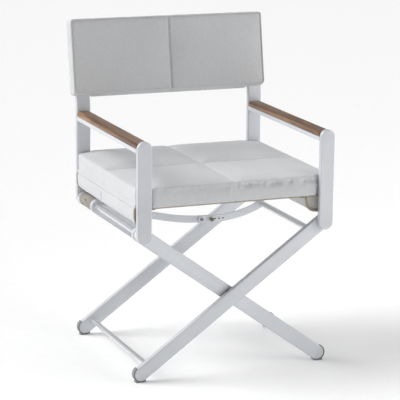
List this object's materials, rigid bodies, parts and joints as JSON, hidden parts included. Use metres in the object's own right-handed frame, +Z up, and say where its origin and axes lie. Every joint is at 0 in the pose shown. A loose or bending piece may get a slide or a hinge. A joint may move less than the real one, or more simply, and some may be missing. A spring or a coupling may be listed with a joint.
{
  "type": "folding director chair",
  "caption": "Folding director chair with a scissor-leg aluminium frame, teak arms, quilted seat and sleeve back, and a jointed stay that locks it open.",
  "frame": {"origin": "on the floor under the middle of the open chair's box", "axes": "+Z up, -Y is the way the sitter faces, +X to the right of somebody who faces the chair's front"},
  "size_m": [0.572, 0.5663, 0.9047],
  "materials": {
    "aluminium": "satin anodised",
    "teak": "oiled, satin",
    "cushion_fabric": "woven, matt",
    "sling_fabric": "woven mesh, matt",
    "black_plastic": "matt",
    "grey_plastic": "satin",
    "steel": "brushed"
  },
  "bodies": {
    "left_side": {"front_post_left": "aluminium", "rear_post_left": "aluminium", "arm_channel_left": "aluminium", "armrest_left": "teak", "arm_screws_left": "steel", "seat_rail_left": "aluminium", "hinge_pin_front_left": "steel", "hinge_pin_rear_left": "steel", "hinge_spacer_front_left": "grey_plastic", "hinge_ring_rear_left": "aluminium", "hinge_drum_rear_left": "grey_plastic", "drum_set_screw": "steel"},
    "leg_frame_a": {"leg_a_front": "aluminium", "leg_a_rear": "aluminium", "hinge_tube_a": "aluminium", "foot_tube_a": "aluminium", "foot_collars_a": "aluminium", "foot_cap_front_right": "black_plastic", "foot_cap_rear_right": "black_plastic", "cross_pin_front": "steel", "cross_pin_rear": "steel", "cross_spacer_front": "black_plastic", "cross_spacer_rear": "aluminium"},
    "leg_frame_b": {"leg_b_front": "aluminium", "leg_b_rear": "aluminium", "stay_tube_b": "aluminium", "foot_tube_b": "aluminium", "foot_collars_b": "aluminium", "foot_cap_front_left": "black_plastic", "foot_cap_rear_left": "black_plastic"},
    "right_side": {"front_post_right": "aluminium", "rear_post_right": "aluminium", "arm_channel_right": "aluminium", "armrest_right": "teak", "arm_screws_right": "steel", "seat_rail_right": "aluminium", "hinge_pin_front_right": "steel", "hinge_pin_rear_right": "steel", "hinge_washer_front_right": "grey_plastic", "hinge_washer_rear_right": "grey_plastic"},
    "stay_left": {"stay_link_left": "aluminium", "stay_elbow_rivet_back": "steel"},
    "stay_right": {"stay_link_right": "aluminium", "stay_elbow_rivet": "steel"},
    "lock_pin": {"stay_lock_pin": "steel"},
    "seat_left": {"seat_cushion_left": "cushion_fabric", "seat_sling_left": "sling_fabric"},
    "seat_right": {"seat_cushion_right": "cushion_fabric", "seat_sling_right": "sling_fabric"},
    "back_left": {"back_cushion_left": "cushion_fabric"},
    "back_right": {"back_cushion_right": "cushion_fabric"}
  },
  "joints": [
    {"name": "fold", "type": "hinge", "parent": "left_side", "child": "leg_frame_a", "pos_m": [-0.2612, -0.0265, 0.4004], "axis": [0, 1, 0], "range_deg": [0, 27], "deforming": ["seat_cushion_left", "seat_sling_left", "seat_cushion_right", "seat_sling_right", "back_cushion_left", "back_cushion_right"]},
    {"name": "cross_pivot", "type": "hinge", "parent": "leg_frame_a", "child": "leg_frame_b", "pos_m": [0, -0.0265, 0.21168], "axis": [0, 1, 0], "range_deg": [-54.01, 0]},
    {"name": "right_hinge", "type": "hinge", "parent": "leg_frame_b", "child": "right_side", "pos_m": [0.2612, -0.0265, 0.4004], "axis": [0, 1, 0], "range_deg": [0, 27.01]},
    {"name": "stay_left_pivot", "type": "hinge", "parent": "leg_frame_a", "child": "stay_left", "pos_m": [-0.2612, 0.0835, 0.4004], "axis": [0, 1, 0], "range_deg": [0, 6.7]},
    {"name": "stay_right_pivot", "type": "hinge", "parent": "leg_frame_b", "child": "stay_right", "pos_m": [0.22797, 0.0775, 0.37639], "axis": [0, 1, 0], "range_deg": [-36.31, 0]},
    {"name": "seat_left_fold", "type": "hinge", "parent": "left_side", "child": "seat_left", "pos_m": [-0.262, -0.0265, 0.462], "axis": [0, 1, 0], "range_deg": [-55.65, 0]},
    {"name": "seat_middle_fold", "type": "hinge", "parent": "seat_left", "child": "seat_right", "pos_m": [0, -0.0265, 0.462], "axis": [0, 1, 0], "range_deg": [0, 111.3]},
    {"name": "back_left_fold", "type": "hinge", "parent": "left_side", "child": "back_left", "pos_m": [-0.2612, 0.22676, 0.694], "axis": [0, 0.1736, 0.9848], "range_deg": [0, 55.75]},
    {"name": "back_middle_fold", "type": "hinge", "parent": "back_left", "child": "back_right", "pos_m": [0, 0.22676, 0.694], "axis": [0, 0.1736, 0.9848], "range_deg": [-111.48, 0]},
    {"name": "lock_pin_slide", "type": "slide", "parent": "stay_right", "child": "lock_pin", "axis": [0, 1, 0], "range_m": [0, 0.005]}
  ],
  "couplings": [
    {"joint": "cross_pivot", "follows": "fold", "ratio": -2},
    {"joint": "right_hinge", "follows": "fold", "ratio": 1},
    {"joint": "stay_left_pivot", "follows": "fold", "ratio": 0.24765},
    {"joint": "stay_right_pivot", "follows": "fold", "ratio": -1.3445},
    {"joint": "seat_left_fold", "follows": "fold", "ratio": -2.0609},
    {"joint": "seat_middle_fold", "follows": "fold", "ratio": 4.1218},
    {"joint": "back_left_fold", "follows": "fold", "ratio": 2.0643},
    {"joint": "back_middle_fold", "follows": "fold", "ratio": -4.1287}
  ]
}
